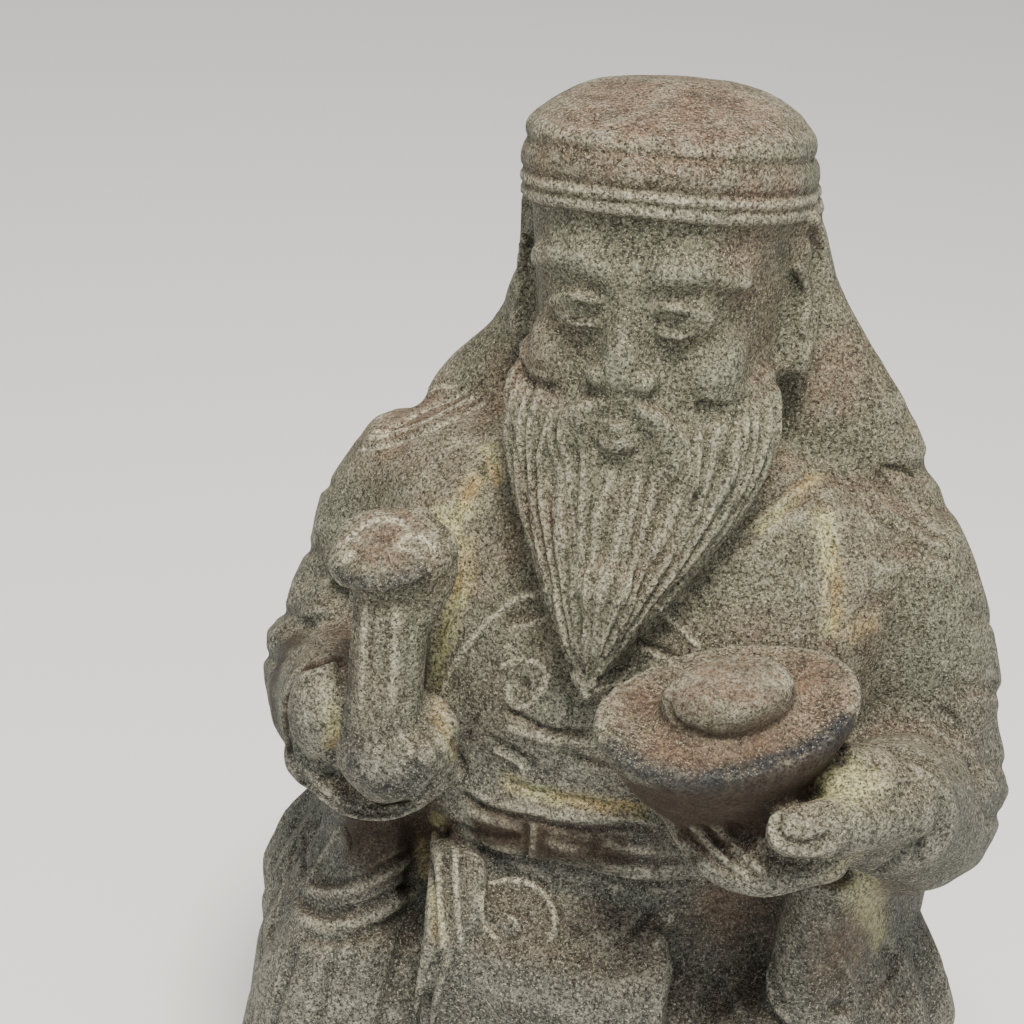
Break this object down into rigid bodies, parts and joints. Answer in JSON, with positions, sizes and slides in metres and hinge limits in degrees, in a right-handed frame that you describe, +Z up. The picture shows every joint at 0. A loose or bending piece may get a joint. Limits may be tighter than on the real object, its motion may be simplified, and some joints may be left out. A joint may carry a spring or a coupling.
{
  "type": "seated stone figure",
  "caption": "Seated old man with a long beard, cap and robe, holding a sceptre and a boat-shaped ingot, carved with its seat and low base from one stone.",
  "frame": {"origin": "centre of the underside of the base", "axes": "+Z up, the figure faces -Y, and +X is the side of the hand that holds the ingot"},
  "size_m": [0.222, 0.179, 0.3459],
  "materials": {
    "stone": "worn, matte, coarse grain"
  },
  "bodies": {
    "root": {"seated_figure": "stone"}
  },
  "joints": []
}
